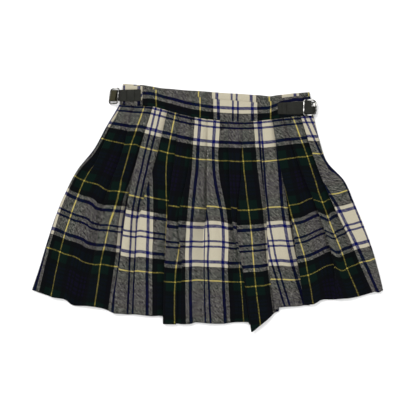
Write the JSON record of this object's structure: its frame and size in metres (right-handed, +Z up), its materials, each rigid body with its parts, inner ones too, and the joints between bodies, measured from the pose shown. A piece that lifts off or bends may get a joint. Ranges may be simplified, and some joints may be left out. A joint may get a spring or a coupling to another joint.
{
  "type": "plaid pleated wrap skirt laid flat",
  "caption": "Pleated mini skirt in plaid wool, laid flat, with knife pleats that open to the hem and a buckled leather strap at each hip",
  "frame": {"origin": "centre of the footprint, on the surface that the skirt lies on", "axes": "+X across the skirt to the viewer's right, +Y from hem to waist, +Z up off the surface"},
  "size_m": [0.5782, 0.4079, 0.0136],
  "materials": {
    "plaid_wool": "woven wool twill in a white ground plaid with navy, black, green and yellow",
    "black_leather": "black grained leather with a low sheen",
    "polished_silver": "polished nickel plate"
  },
  "bodies": {
    "root": {"front_pleats": "plaid_wool", "back_pleats": "plaid_wool", "front_waistband": "plaid_wool", "left_waistband_end": "plaid_wool", "back_waistband": "plaid_wool", "left_strap": "black_leather", "left_strap_loop": "black_leather", "left_buckle": "polished_silver", "right_strap_base": "black_leather", "right_strap": "black_leather", "right_buckle": "polished_silver", "right_prong": "polished_silver"}
  },
  "joints": []
}
